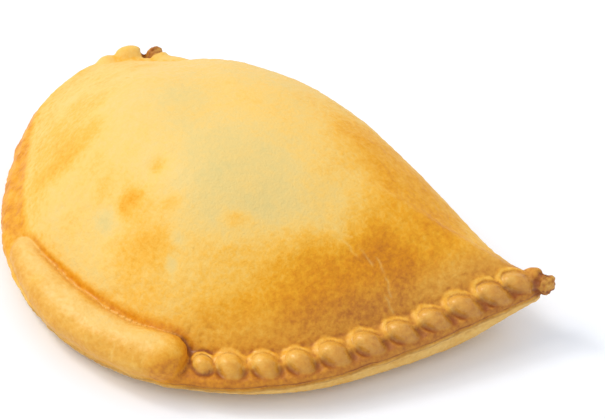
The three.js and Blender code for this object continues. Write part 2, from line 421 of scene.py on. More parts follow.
def roll_place(along):
    """The middle of the roll at a distance along it, the way out of the pie, and its size there."""
    distance = seam.length / 2 + ROLL_MIDDLE + np.asarray(along, float)
    outwards = seam.outwards(distance)
    size = 1 - ROLL_TAPER * smooth_step(-np.asarray(along, float), 0, ROLL_HALF_LENGTH)
    middle = seam.at(distance) - ROLL_INSET * outwards + np.array([0, 0, ROLL_LIFT])
    return middle, outwards, size


def roll_mesh():
    around, count = ROLL_CUTS["around"], ROLL_CUTS["along"]
    radius = ROLL_RADII["across"]
    even = np.linspace(-1, 1, count + 2)
    along = ROLL_HALF_LENGTH * np.sign(even) * (1 - (1 - np.abs(even)) ** ROLL_CUTS["crowding"])
    past = np.maximum(np.abs(along) - (ROLL_HALF_LENGTH - radius), 0) / radius
    girth = np.sqrt(np.maximum(1 - past**2, 0))
    middle, outwards, size = roll_place(along)
    turn = np.linspace(0, 2 * math.pi, around, endpoint=False)
    across = (np.cos(turn)[None, :] * (girth * size * radius)[:, None])[..., None] * outwards[:, None, :]
    up = np.zeros_like(across)
    up[..., 2] = np.sin(turn)[None, :] * (girth * size * ROLL_RADII["up"])[:, None]
    grid = middle[:, None, :] + across + up
    points = np.vstack([grid[1:-1].reshape(-1, 3), middle[0], middle[-1]])
    return points, tube_faces(count, around)


roll_points, roll_faces = roll_mesh()
print("roll:", len(roll_points), "points,", np.ptp(roll_points, axis=0).round(1), "mm")

# %% [markdown]
# ## Pinched beads and the two knobs
#
# Right of the roll the seam is pinched between finger and thumb, and every pinch leaves a bead shaped like a
# bean, longer and more slanted the nearer it is to the tip. On the left a few pinches made broad, shallow
# lobes. Sculpting each one would make them differ, but could not be repeated, so one rule places them all and
# a slow wave makes no two alike. The ends of the dough are twisted off into a knob on each tip.

# %% Beads and knobs
RIGHT_BEADS = {
    "count": 11,
    "start": 6.8,  # from the tip
    "pitch": 8.68,
    "crowding": 0.48,  # how much closer the first ones stand
    "lean": (54, 42),  # in degrees, at the tip and at the roll
    "lift": (1.6, 1.6),
}
LEFT_BEADS = {"count": 4, "start": 7, "pitch": 9, "crowding": 0, "lean": (72, 66), "lift": (3.1, 2.5)}
LONG_BEAD = np.array([4.5, 2.6, 2.3])  # radii along it, across it and upwards, at the tip
ROUND_BEAD = np.array([3.7, 3.0, 2.5])  # and at the roll
BEAD_UNEVENNESS = {"amount": 0.08, "step": 2.4}
BEAD_INSET = (3.7, 5.0)  # at the tip and at the roll
BEAD_DIP = math.radians(10)
TUCKED_BEAD = {"size": 0.72, "back": 1.8}  # the one half tucked under the roll
BEAD_CUTS = {"rings": 30, "around": 44}
KNOB = {"radii": (2.1, 3, 3.5), "reach": -1.4, "back": 0.6}
COLLAR = {"radii": (3.6, 2.9, 2.8), "reach": -4, "back": 1}


def oval_mesh():
    """A unit ball, long axis along X, ready to be stretched."""
    rings, around = BEAD_CUTS["rings"], BEAD_CUTS["around"]
    polar = np.linspace(0, math.pi, rings + 2)[1:-1, None]
    turn = np.linspace(0, 2 * math.pi, around, endpoint=False)[None, :]
    lengthwise = -np.cos(polar) + 0 * turn
    grid = np.stack([lengthwise, np.sin(polar) * np.cos(turn), np.sin(polar) * np.sin(turn)], axis=-1)
    return np.vstack([grid.reshape(-1, 3), (-1, 0, 0), (1, 0, 0)]), tube_faces(rings, around)


def turned(axis, angle):
    cosine, sine = math.cos(angle), math.sin(angle)
    if axis == "Y":
        return np.array([[cosine, 0, sine], [0, 1, 0], [-sine, 0, cosine]])
    return np.array([[cosine, -sine, 0], [sine, cosine, 0], [0, 0, 1]])


def bead_place(index, side):
    """One bead's middle, its three axes as rows, and its radii."""
    row = RIGHT_BEADS if side > 0 else LEFT_BEADS
    tucked = side > 0 and index == row["count"] - 1
    crowded = index - row["crowding"] * (1 - 0.5**index)
    from_tip = row["start"] + row["pitch"] * crowded - (TUCKED_BEAD["back"] if tucked else 0)
    distance = seam.length - from_tip if side > 0 else from_tip
    outwards = seam.outwards(distance)
    wave = abs(math.sin(BEAD_UNEVENNESS["step"] * index + side))
    size = TUCKED_BEAD["size"] if tucked else 1 - BEAD_UNEVENNESS["amount"] * wave
    to_roll = index / (row["count"] - 1)
    inset, lift = blend(*BEAD_INSET, to_roll), blend(*row["lift"], to_roll)
    middle = seam.at(distance) - outwards * inset + np.array([0, 0, lift])
    across = np.cross([0, 0, 1], outwards)
    frame_axes = np.stack([outwards, across, [0, 0, 1]])
    turn = side * math.radians(blend(*row["lean"], to_roll))
    axes = (frame_axes.T @ turned("Z", turn) @ turned("Y", BEAD_DIP)).T
    radii = blend(LONG_BEAD, ROUND_BEAD, to_roll) * size
    return {"middle": middle, "axes": axes, "radii": radii, "side": side}


beads = [bead_place(index, -1) for index in range(LEFT_BEADS["count"])]
beads += [bead_place(index, 1) for index in range(RIGHT_BEADS["count"])]


def knob_points(unit, size, tip):
    sign = math.copysign(1, tip[0])
    middle = np.array(tip) + ORIGIN_SHIFT + np.array([sign * size["reach"], -size["back"], 0])
    return unit * np.array(size["radii"]) + middle


def small_meshes():
    unit, faces = oval_mesh()
    placed = [bead["middle"] + (unit * bead["radii"]) @ bead["axes"] for bead in beads]
    placed += [knob_points(unit, size, tip) for tip in (LEFT_TIP, RIGHT_TIP) for size in (KNOB, COLLAR)]
    return [(points, faces) for points in placed]


highest = max(bead["middle"][2] + bead["radii"][2] for bead in beads)
print(f"{len(beads)} beads, up to about {highest:.1f} mm high")

# %% [markdown]
# ## One skin over all of it
#
# The body, roll, beads and knobs still pass through each other. Boolean unions would join them with hard
# seams, but dough that is pinched together flows into one skin with soft creases. A voxel remesh does just
# that: it fills the whole shape with small cells and wraps them. A few rounds of smoothing take out the
# steps of the cells.

# %% Join and remesh
VOXEL = 0.38


def mesh_object(name, parts):
    points, faces, start = [], [], 0
    for part_points, part_faces in parts:
        points.append(part_points)
        faces += [[start + index for index in face] for face in part_faces]
        start += len(part_points)
    mesh = bpy.data.meshes.new(name)
    mesh.from_pydata((np.vstack(points) * MM).tolist(), [], faces)
    piece = bpy.data.objects.new(name, mesh)
    bpy.context.scene.collection.objects.link(piece)
    return piece


def bake_modifier(piece, kind, **settings):
    """Adds a modifier, keeps the mesh that it makes and drops the old one."""
    modifier = piece.modifiers.new(kind.lower(), kind)
    for name, value in settings.items():
        setattr(modifier, name, value)
    bpy.context.view_layer.update()
    made = bpy.data.meshes.new_from_object(piece.evaluated_get(bpy.context.evaluated_depsgraph_get()))
    piece.modifiers.clear()
    old, piece.data = piece.data, made
    bpy.data.meshes.remove(old)


crust = mesh_object("baked_crust", [(body_points, body_faces), (roll_points, roll_faces), *small_meshes()])
bake_modifier(crust, "REMESH", mode="VOXEL", voxel_size=VOXEL * MM)
print("skin:", len(crust.data.vertices), "points")

# %% Reading and smoothing the skin as arrays
SMOOTHING_PASSES = 4


def read_vectors(mesh, name):
    flat = np.empty(len(mesh.vertices) * 3, np.float32)
    mesh.vertices.foreach_get(name, flat)
    return flat.reshape(-1, 3).astype(float)


def read_points(mesh):
    return read_vectors(mesh, "co") / MM


def write_points(mesh, points):
    mesh.vertices.foreach_set("co", (points * MM).astype(np.float32).ravel())
    mesh.update()


def read_edges(mesh):
    flat = np.empty(len(mesh.edges) * 2, np.int32)
    mesh.edges.foreach_get("vertices", flat)
    return flat.reshape(-1, 2).astype(np.int64)


def spread(values, edges, passes, share=0.5):
    """Evens values out over neighbouring points, pass by pass."""
    count = len(values)
    both = np.concatenate([edges[:, 0], edges[:, 1]])
    other = np.concatenate([edges[:, 1], edges[:, 0]])
    neighbours = np.bincount(both, minlength=count)[:, None]
    columns = values.astype(float).reshape(count, -1)
    for _ in range(passes):
        mean = [np.bincount(both, weights=column[other], minlength=count) for column in columns.T]
        columns = columns + share * (np.stack(mean, axis=1) / neighbours - columns)
    return columns.reshape(values.shape)


edges = read_edges(crust.data)
points = spread(read_points(crust.data), edges, SMOOTHING_PASSES)
print("smoothed; the skin spans", (points.max(axis=0) - points.min(axis=0)).round(1), "mm")

# %% [markdown]
# ## Knowing where a point lies
#
# Relief and colour both depend on where a point is: on a bead, in the crease beside it, on the band, or
# somewhere on the dome. Vertex groups painted by hand could say so. Here the places are measured against
# the same edge line and the same beads that made the shape, so they follow it when a size changes.

# %% Places along the rim
RIM_STEP = 0.4


def rim_places(points):
    """The distance along the seam, how far inside the edge, and how far above it each point is."""
    distances = np.arange(0, seam.length, RIM_STEP)
    line = seam.at(distances)
    tree = KDTree(len(line))
    for index, (x, y, _) in enumerate(line.tolist()):
        tree.insert((x, y, 0), index)
    tree.balance()
    nearest = np.array([tree.find((x, y, 0))[1] for x, y in points[:, :2].tolist()])
    away = points - line[nearest]
    inside = -(away * seam.outwards(distances)[nearest]).sum(axis=1)
    return {"along": distances[nearest], "inside": inside, "above": away[:, 2]}


# %% Places on and round the beads
NO_BEAD = 9.0  # stands for far away from every bead
BEAD_SEARCH = 2.2 * LONG_BEAD[0]  # no bead matters further away than this


def bead_places(points):
    """For the nearest bead: how many of its radii away its middle is, and where round it a point lies."""
    reach = np.full(len(points), NO_BEAD)
    second = np.full(len(points), NO_BEAD)
    local = np.tile([1.0, 0.0, 0.0], (len(points), 1))
    side = np.zeros(len(points))
    for bead in beads:
        near = np.flatnonzero(np.abs(points - bead["middle"]).max(axis=1) < BEAD_SEARCH)
        place = ((points[near] - bead["middle"]) @ bead["axes"].T) / bead["radii"]
        far = np.linalg.norm(place, axis=1)
        closer = far < reach[near]
        second[near] = np.where(closer, reach[near], np.minimum(second[near], far))
        chosen = near[closer]
        reach[chosen] = far[closer]
        local[chosen] = place[closer]
        side[chosen] = bead["side"]
    return {
        "reach": reach,
        "second": second,
        "level": np.hypot(local[:, 0], local[:, 1]),
        "turn": np.arctan2(local[:, 1], -local[:, 0]),
        "outer": local[:, 0],
        "side": side,
    }


# %% Places on and round the roll and the knobs
def roll_places(rim_at):
    """Where a point is along and round the roll, and how many of its radii away the roll's middle is."""
    along = rim_at["along"] - seam.length / 2 - ROLL_MIDDLE
    size = 1 - ROLL_TAPER * smooth_step(-along, 0, ROLL_HALF_LENGTH)
    across = (ROLL_INSET - rim_at["inside"]) / (ROLL_RADII["across"] * size)
    up = (rim_at["above"] - ROLL_LIFT) / (ROLL_RADII["up"] * size)
    past = np.maximum(np.abs(along) - (ROLL_HALF_LENGTH - ROLL_RADII["across"]), 0) / ROLL_RADII["across"]
    return {"along": along, "across": across, "up": up, "reach": np.sqrt(across**2 + up**2 + past**2)}


def knob_distance(points):
    tips = [np.array(tip) + ORIGIN_SHIFT for tip in (LEFT_TIP, RIGHT_TIP)]
    return np.min([np.linalg.norm(points - tip, axis=1) for tip in tips], axis=0)


def all_places(points):
    rim_at = rim_places(points)
    return {
        "rim": rim_at,
        "bead": bead_places(points),
        "roll": roll_places(rim_at),
        "knob": knob_distance(points),
    }


at = all_places(points)
print((at["bead"]["reach"] < 1.1).sum(), "points on beads,", (at["roll"]["reach"] < 1.1).sum(), "on the roll")

# %% [markdown]
# ## The left side flows
#
# Left of the roll the dough was pressed only lightly: the lobes there run smoothly into the dome, without
# the sharp creases of the right side. The same skin serves, but in this one stretch it is evened out much
# more, save for its thin outer edge.

# %% Melt the left lobes into the dome
MELTED = {
    "passes": 50,
    "blur": 8,  # passes that soften the border of the melted stretch
    "until": (78, 94),  # along the seam
    "deep": (11, 17),  # measured inwards from the edge, as the next one is
    "edge": (2.2, 5),
    "above": (-1.5, 0.5),  # measured up from the edge
    "off_knob": 5,
}


def melted_share(rim_at):
    deep = 1 - smooth_step(rim_at["inside"], *MELTED["deep"])
    edge = smooth_step(rim_at["inside"], *MELTED["edge"])
    above = smooth_step(rim_at["above"], *MELTED["above"])
    on_left = 1 - smooth_step(rim_at["along"], *MELTED["until"])
    return on_left * deep * edge * above * (at["knob"] > MELTED["off_knob"])


melted = melted_share(at["rim"])[:, None]
points = blend(points, spread(points, edges, MELTED["passes"]), spread(melted, edges, MELTED["blur"]))
write_points(crust.data, points)
normals = read_vectors(crust.data, "normal")
at = all_places(points)
print("melted points:", int((melted > 0.5).sum()))

# %% [markdown]
# ## Relief
#
# Real crust is never as clean as the forms under it. Displacement textures would be quick, but they don't
# know where the beads are. So each kind of relief is a small function that gives a height for every point,
# and the heights are added up and pushed out along the surface.

# %% Noise, hills and lines
SEED_STEP = 17.3  # another seed reads the noise this far away


def noise_at(places, grain, seed=0):
    """Soft noise from -1 to 1 whose waves are about a grain long."""
    scaled = (places / np.asarray(grain, float) + seed * SEED_STEP).tolist()
    return np.array([noise.noise(place) for place in scaled])


def waves(places, size, seed):
    """Noise of a given size, which is a pair: its amount and its grain."""
    amount, grain = size
    return amount * noise_at(places, grain, seed)


def hill(distance, width):
    return np.exp(-((distance / width) ** 2))


def line_distance(places, line):
    """The distance in plan to a line through a few places."""
    line = np.array(line, float)
    best = np.full(len(places), np.inf)
    for start, end in zip(line, line[1:]):
        along = end - start
        share = np.clip((places - start) @ along / (along @ along), 0, 1)
        best = np.minimum(best, np.linalg.norm(places - start - share[:, None] * along, axis=1))
    return best


# %% The dome: broad waves and one dimple
DOME_WAVES = {"broad": (0.4, 17), "small": (0.16, 7.5), "from_edge": (6, 14)}
DIMPLE = {"x": -4.6, "y": -12.7, "radius": 2.4, "depth": 0.8, "rim": 4.4, "rim_height": 0.12, "above": 20}
FAR_FROM_DIMPLE = 20


def dome_waves(points, rim_at):
    height = waves(points, DOME_WAVES["broad"], 1) + waves(points, DOME_WAVES["small"], 2)
    return height * smooth_step(rim_at["inside"], *DOME_WAVES["from_edge"])


def dimple_distance(points):
    """The distance in plan from the dimple; the underside below it counts as far away."""
    away = np.hypot(points[:, 0] - DIMPLE["x"], points[:, 1] - DIMPLE["y"])
    return away + FAR_FROM_DIMPLE * (points[:, 2] < DIMPLE["above"])


def dimple(points):
    away = dimple_distance(points)
    on_left = points[:, 0] < DIMPLE["x"]
    left_rim = DIMPLE["rim_height"] * hill(away - DIMPLE["rim"], DIMPLE["radius"] / 2) * on_left
    return left_rim - DIMPLE["depth"] * hill(away, DIMPLE["radius"])


# %% [markdown]
# ## Hairline cracks
#
# Steam stretches the crust on its right flank until the dry outer layer tears into hairlines, which show the
# paler dough below. They could be scattered at random, but real ones follow the strain, in short broken lines
# down from the crown. So each is a line through a few places, and noise makes it wander and breaks it up.

# %% Cracks where the crust stretched
CRACKS = [
    # the places that each line runs through, in plan
    [(36.6, 6.2), (38.4, 6.3), (40.0, 6.8), (41.8, 7.1)],
    [(40.7, 9.0), (42.4, 8.8), (44.9, 9.2)],
    [(44.4, 10.9), (45.9, 10.8), (47.2, 10.3), (49.1, 10.1), (51.1, 8.9)],
    [(50.7, 7.9), (52.3, 7.5), (53.3, 7.8)],
    [(27.3, 4.6), (31.0, 6.3), (35.8, 8.0)],
    [(30.4, 8.1), (33.0, 8.2), (36.2, 8.9)],
    [(31.0, 3.2), (34.6, 5.2), (38.6, 8.6)],
    [(14.0, -43.0), (14.6, -44.6), (15.1, -45.6)],
    [(-11.8, -8.6), (-8.0, -7.1), (-5.3, -4.8)],
]
CRACK = {
    "width": 0.24,
    "depth": 0.14,
    "wander": (0.4, 1.6),
    "gap_grain": 2.2,
    "gaps": (-0.5, 0.1),
    "above": 8,
}


def crack_mask(points):
    """How much of a hairline crack each point lies in, from 0 to 1."""
    wander = np.stack([waves(points, CRACK["wander"], seed) for seed in (3, 4)], axis=1)
    nearest = np.min([line_distance(points[:, :2] + wander, line) for line in CRACKS], axis=0)
    broken = smooth_step(noise_at(points, CRACK["gap_grain"], seed=24), *CRACK["gaps"])
    return hill(nearest, CRACK["width"]) * broken * (points[:, 2] > CRACK["above"])


# %% [markdown]
# ## Hoods and crevices along the seam
#
# A pinch pushes dough up behind it, so a small flap stands like a hood behind each bead, and crevices run
# down between the beads. A sculpting brush could draw them one by one. Here both are masks from 0 to 1, read
# from how far a point is from the nearest beads, so every bead gets its own.

# %% The seam: creases, hoods and crevices
CREASE = {"passes": 24, "gain": 1.1, "spared_behind_hood": 0.85}
HOOD = {
    "height": 0.24,
    "lip": (0.98, 1.12),  # in radii of the bead, as slope and near are
    "slope": (1.16, 1.5),
    "near": 2,
    "middle": 25,  # degrees round the bead from its inner end
    "half_turn": 85,
    "frill": (0.07, 1.3),
}
CREVICE = {
    "depth": 0.8,
    "around": (1.18, 0.26),  # where round a bead it is deepest, and how wide it is, in radii
    "next": (1.6, 2.8),  # how near the second bead is, in its radii
    "alone": 0.35,  # what is left of it where no second bead is near
    "from_edge": (0.2, 1.2),
    "until": (3.2, 4.6),
}


def hollows(passes):
    """How far the surface lies under its own smoothed copy."""
    return ((spread(points, edges, passes) - points) * normals).sum(axis=1)


def hood_mask(points, bead_at):
    """The flap pushed up behind a bead's inner end, and all that lies behind there, from 0 to 1."""
    level = bead_at["level"] + waves(points, HOOD["frill"], 5)
    from_middle = np.abs(bead_at["turn"] - math.radians(HOOD["middle"]))
    half_turn = math.radians(HOOD["half_turn"])
    arc = 1 - smooth_step(from_middle, half_turn / 2, half_turn)
    arc = arc * (bead_at["side"] > 0) * (bead_at["reach"] < HOOD["near"])
    behind = arc * (1 - smooth_step(level, *HOOD["slope"]))
    return {"flap": behind * smooth_step(level, *HOOD["lip"]), "behind": behind}


def crevice_mask(bead_at, rim_at):
    """The hollow between two beads and the ledge outside them, from 0 to 1, later darkened with browning and
    painted shade.
    """
    deepest, width = CREVICE["around"]
    round_bead = hill(bead_at["reach"] - deepest, width) * (bead_at["side"] > 0)
    between = 1 - smooth_step(bead_at["second"], *CREVICE["next"])
    on_ledge = smooth_step(rim_at["inside"], *CREVICE["from_edge"])
    on_ledge = on_ledge * (1 - smooth_step(rim_at["inside"], *CREVICE["until"]))
    return round_bead * blend(CREVICE["alone"], 1, between) * on_ledge


# %% [markdown]
# ## The roll, the edge and the knobs
#
# Rolling twists the dough, so the roll has long shallow wrinkles that turn about it. The band beside it
# blisters, the cut edge is a little notched, and the twisted knobs are rough. Each could have a texture of
# its own, but one noise serves them all: stretched, fine or coarse, and faded out where its part ends.

# %% Wrinkles and blisters
WRINKLES = {
    "twist": 0.05,
    "fine": (0.08, (8, 0.14, 0.14)),  # grain along the roll, and round it in radii of the roll
    "broad": (0.4, (9, 1.1, 1.1)),
    "surface": (1.02, 1.25),  # in radii too
    "before_end": (-2, 14),
}
BAND_FOLDS = {
    "folds": (0.25, 3.2),
    "blisters": (0.3, 1.4),
    "along": 78,
    "half_length": 22,
    "until": (4.5, 7.5),  # measured inwards from the edge
}


def roll_wrinkles(roll_at):
    across = roll_at["across"] + WRINKLES["twist"] * roll_at["along"]
    twisted = np.stack([roll_at["along"], across, roll_at["up"]], axis=1)
    on_roll = 1 - smooth_step(roll_at["reach"], *WRINKLES["surface"])
    on_roll = on_roll * smooth_step(ROLL_HALF_LENGTH - roll_at["along"], *WRINKLES["before_end"])
    return (waves(twisted, WRINKLES["fine"], 6) + waves(twisted, WRINKLES["broad"], 7)) * on_roll


def band_wrinkles(points, rim_at):
    """The band beside the roll's left end bakes into small blisters and folds."""
    beside_roll = hill(rim_at["along"] - BAND_FOLDS["along"], BAND_FOLDS["half_length"])
    beside_roll = beside_roll * (1 - smooth_step(rim_at["inside"], *BAND_FOLDS["until"]))
    blisters = np.abs(waves(points, BAND_FOLDS["blisters"], 9))
    return (waves(points, BAND_FOLDS["folds"], 8) + blisters) * beside_roll


# %% The notched edge and the rough knobs
NOTCHES = {"depth": 0.35, "grain": 6, "share": (-0.4, 0.6), "below": 1, "reach": 3}
EDGE_BUMP = {"along": 58, "width": 3, "height": 0.8}  # a small fold on the left, measured along the seam
KNOB_NECK = {"from_tip": 3.7, "width": 0.8, "depth": 0.6}
KNOB_CRAGS = {"lumps": (0.45, 2.1), "grit": (0.35, 0.9), "sunk": 0.2, "until": (4, 6)}


def uneven_edge(points, rim_at):
    """The cut edge of the dough is a little notched, and has one small fold on the left."""
    at_edge = hill(rim_at["inside"], NOTCHES["reach"])
    at_edge = at_edge * hill(rim_at["above"] + NOTCHES["below"], NOTCHES["reach"])
    notched = smooth_step(noise_at(points, NOTCHES["grain"], seed=14), *NOTCHES["share"])
    bump = EDGE_BUMP["height"] * hill(rim_at["along"] - EDGE_BUMP["along"], EDGE_BUMP["width"])
    return (bump - NOTCHES["depth"] * notched) * at_edge


def knob_neck(distance):
    return hill(distance - KNOB_NECK["from_tip"], KNOB_NECK["width"])


def knob_crags(points, distance):
    rough = waves(points, KNOB_CRAGS["lumps"], 10) + waves(points, KNOB_CRAGS["grit"], 11)
    on_knob = 1 - smooth_step(distance, *KNOB_CRAGS["until"])
    return (rough - KNOB_CRAGS["sunk"]) * on_knob - KNOB_NECK["depth"] * knob_neck(distance)


# %% Add the relief up
BLISTERS = (0.14, 2.0)
PORES = (0.1, 1.1)
STRETCHED = {"x": 6, "y": 4, "radius": 30, "calm": 0.75}  # where the filling pulls the dough smooth
BEAD_CALM = {"reach": 1.3, "calm": 0.6}
RELIEF_FROM = (0.5, 2.5)  # height above the tray


def fine_relief(points, bead_at):
    """Blisters and pores, calmer on the stretched crown and on the beads."""
    from_crown = np.hypot(points[:, 0] - STRETCHED["x"], points[:, 1] - STRETCHED["y"])
    kept = 1 - STRETCHED["calm"] * hill(from_crown, STRETCHED["radius"])
    kept = kept * (1 - BEAD_CALM["calm"] * (bead_at["reach"] < BEAD_CALM["reach"]))
    return (waves(points, BLISTERS, 12) + waves(points, PORES, 13)) * kept


def relief(points, at):
    hood = hood_mask(points, at["bead"])
    creased = np.maximum(hollows(CREASE["passes"]), 0) * (1 - CREASE["spared_behind_hood"] * hood["behind"])
    heights = [
        dome_waves(points, at["rim"]),
        dimple(points),
        fine_relief(points, at["bead"]),
        -CREASE["gain"] * creased,
        HOOD["height"] * hood["flap"],
        -CREVICE["depth"] * crevice_mask(at["bead"], at["rim"]),
        roll_wrinkles(at["roll"]),
        band_wrinkles(points, at["rim"]),
        uneven_edge(points, at["rim"]),
        knob_crags(points, at["knob"]),
        -CRACK["depth"] * crack_mask(points),
    ]
    return sum(heights) * smooth_step(points[:, 2], *RELIEF_FROM)


height = relief(points, at)
points += normals * height[:, None]
print("relief from", height.min().round(2), "to", height.max().round(2), "mm")

# %% [markdown]
# ## Fewer, better placed triangles
#
# An even skin spends as many faces on the flat underside as on the beads. Collapsing edges where the surface
# is nearly flat keeps the fine folds, and brings the crust under two hundred thousand triangles. The
# underside is pressed level first, as a baking tray does.

# %% Rest on the tray, fit the box, and thin out
TRIANGLES = 190_000
LEVEL_BELOW = 0.3
BOX_MARGIN = 0.02


def fit_box(points):
    """Keeps every point a hair inside the solid's own box, and the underside on the tray."""
    low, high = (np.array(corner) / MM for corner in cad_box)
    points = np.clip(points, low + BOX_MARGIN, high - BOX_MARGIN)
    points[points[:, 2] < LEVEL_BELOW, 2] = 0
    return points


write_points(crust.data, fit_box(points))
before = sum(len(face.vertices) - 2 for face in crust.data.polygons)
bake_modifier(crust, "DECIMATE", ratio=TRIANGLES / before)
write_points(crust.data, fit_box(read_points(crust.data)))
crust.data.shade_smooth()
print(before, "triangles brought down to", sum(len(face.vertices) - 2 for face in crust.data.polygons))

# %% [markdown]
# ## What the oven did
#
# Short dough browns where it is thin, stands proud or was brushed with egg, and stays pale where it was
# shaded or stretched over damp filling. The colour is decided in two steps. Here each point is given its
# browning, its creases (darkened partly by browning, partly with painted shade), its plain dough and its
# glaze as attributes, measured from the shape. Later the material turns these into colours and adds the fine
# mottling that is smaller than the mesh.

# %% Browning laid on in ovals, the broad ones first
SPOTS = [
    # x, y, half length, half width, turn in degrees, browning
    (-20, 30, 48, 16, 0, 0.24),
    (-18, 2, 24, 16, 10, 0.17),
    (38, 30, 30, 12, -10, 0.63),
    (-62, 20, 14, 20, 0, 0.34),
    (-40, -13, 8, 16, 25, 0.42),
    (-24, -28, 14, 8, -30, 0.27),
    (4, -33, 24, 7, 15, 0.40),
    (16, -21, 14, 8, 30, 0.36),
    (12, -3, 19, 14, 30, 0.08),
    (28, -25, 9, 5, 50, 0.46),
    (42, -3, 27, 11, 62, 0.68),
    (47, 13, 9, 7, 50, 0.84),
    (47, 0, 15, 3.6, 60, 0.80),
    (62, 30, 12, 8, 65, 0.64),
    (-33, -17, 9, 5, 70, 0.50),
    (-10, -33, 11, 4, -5, 0.24),
    (5, -26, 7, 4, 20, 0.48),
    (20, -9, 5, 2, 35, 0.38),
    (-8, -25.5, 5, 2.6, 15, 0.03),
    (11.2, -21, 1.8, 1.4, 0, 0.16),
    (13, -24.5, 1.7, 1.4, 0, 0.16),
    (-2, -22.5, 5.5, 3, 15, 0.42),
    (-4.5, -21.5, 3, 2.4, 30, 0.56),
    (5.2, -17.2, 3, 1.9, 20, 0.40),
    (-15.3, -21.5, 3, 1.9, 0, 0.42),
]
BROWNED_BETWEEN = 0.34  # where no oval lies
SPOT_EDGE = 1.3  # the higher, the more sharply an oval ends
SPOT_WANDER = (3, 10)
FULL_WANDER = 8  # an oval narrower than this wanders less
MOTTLES = {"broad": (0.07, 8), "small": (0.06, 3.4)}
BROWNED_DIMPLE = {"browned": 0.42, "radius": 2.2}


def spot_browning(points):
    wander = np.stack([waves(points, SPOT_WANDER, seed) for seed in (20, 21)], axis=1)
    browned = np.full(len(points), BROWNED_BETWEEN)
    for x, y, half_length, half_width, turn, value in SPOTS:
        angle = math.radians(turn)
        away = points[:, :2] + wander * min(1, half_width / FULL_WANDER) - (x, y)
        along = away @ (math.cos(angle), math.sin(angle)) / half_length
        across = away @ (-math.sin(angle), math.cos(angle)) / half_width
        browned = blend(browned, value, np.exp(-((along**2 + across**2) ** SPOT_EDGE)))
    browned = browned + waves(points, MOTTLES["broad"], 22) + waves(points, MOTTLES["small"], 23)
    return blend(browned, BROWNED_DIMPLE["browned"], hill(dimple_distance(points), BROWNED_DIMPLE["radius"]))


# %% Where beads, roll, band and underside are
OUTER_ZONES = {"rim": (7, 11), "strip": (9, 17), "ledge": (1.8, 3.2), "pocket": (6, 9), "side": (14, 20)}
GLAZED_BAND = {"width": (1.4, 6.2), "along": (36, 76), "fade": (-1, 1.6)}  # broader towards the roll
FADES = {
    "beaded": (150, 165),  # along the seam
    "roll": (1.0, 1.12),  # in radii of the roll
    "bead": (1.0, 1.15),  # in radii of the bead
    "below": (1.6, 2.8),  # down from the seam
    "facing_down": (0.25, 0.7),
    "knob": (3, 5),  # from the tip
}
TUCK = {"reach": 1.2, "width": 0.24, "inner": (0.1, 0.7)}  # the crease behind the roll, in its radii
POCKET_WIDTH = 5


def surface_parts(points, normals, at):
    """How much each point belongs to each part of the surface, from 0 to 1."""
    rim_at, roll_at, bead_at = at["rim"], at["roll"], at["bead"]
    outer = {name: 1 - smooth_step(rim_at["inside"], *fade) for name, fade in OUTER_ZONES.items()}
    on_roll = 1 - smooth_step(roll_at["reach"], *FADES["roll"])
    off_roll = 1 - on_roll
    beaded = smooth_step(rim_at["along"], *FADES["beaded"])
    band_width = blend(*GLAZED_BAND["width"], smooth_step(rim_at["along"], *GLAZED_BAND["along"]))
    in_band = 1 - smooth_step(rim_at["inside"] - band_width, *GLAZED_BAND["fade"])
    below = smooth_step(-rim_at["above"], *FADES["below"]) * outer["side"]
    facing_down = smooth_step(-normals[:, 2], *FADES["facing_down"])
    behind_roll = hill(roll_at["reach"] - TUCK["reach"], TUCK["width"])
    return {
        "roll": on_roll,
        "bead": (1 - smooth_step(bead_at["reach"], *FADES["bead"])) * (bead_at["side"] > 0),
        "rim": outer["rim"],
        "strip": beaded * outer["strip"] * off_roll,
        "droop": droop(rim_at["along"]) * in_band * off_roll,
        "tuck": behind_roll * smooth_step(-roll_at["across"], *TUCK["inner"]),
        "under": np.maximum(below, facing_down) * off_roll,
        "base": (points[:, 2] < LEVEL_BELOW).astype(float),
        "pocket": hill(roll_at["along"] - ROLL_HALF_LENGTH, POCKET_WIDTH) * outer["pocket"] * off_roll,
        "knob": 1 - smooth_step(at["knob"], *FADES["knob"]),
        "hood": hood_mask(points, bead_at)["flap"],
        "ledge": beaded * outer["ledge"] * off_roll,
        "beaded": beaded,
    }


points = read_points(crust.data)
normals = read_vectors(crust.data, "normal")
edges = read_edges(crust.data)
at = all_places(points)
part = surface_parts(points, normals, at)
print({name: int((share > 0.5).sum()) for name, share in part.items()})

# %% [markdown]
# ## Browning, part by part
#
# The thin strip beside the beads and the ledge outside them brown most, the roll stays golden, and the
# underside stays plain. Painted by hand, all this would be lost as soon as a size changed. So the parts found
# above are laid over one another, each with its own browning, and a later one covers an earlier one.

# %% How far the roll has browned
ROLL_END = (24, 33)  # along the roll: where its blunt right end begins, and where it is full
ROLL_BROWNED = {"top": 0.31, "outer": 0.22, "end": 0.2, "low_end": 0.4, "most": 0.76}
ROLL_OUTER = (0.1, 0.9)  # in radii of the roll
ROLL_MOTTLE = (0.07, (6, 6, 2))


def roll_browning(points, roll_at):
    """Golden on top, browner on the outer side, and brownest low down at the blunt right end."""
    outer = ROLL_BROWNED["outer"] * smooth_step(roll_at["across"], *ROLL_OUTER)
    low_down = ROLL_BROWNED["low_end"] * smooth_step(-roll_at["up"], -1, 0)
    end = smooth_step(roll_at["along"], *ROLL_END) * (ROLL_BROWNED["end"] + low_down)
    browned = ROLL_BROWNED["top"] + outer + end + waves(points, ROLL_MOTTLE, 25)
    return np.minimum(browned, ROLL_BROWNED["most"])


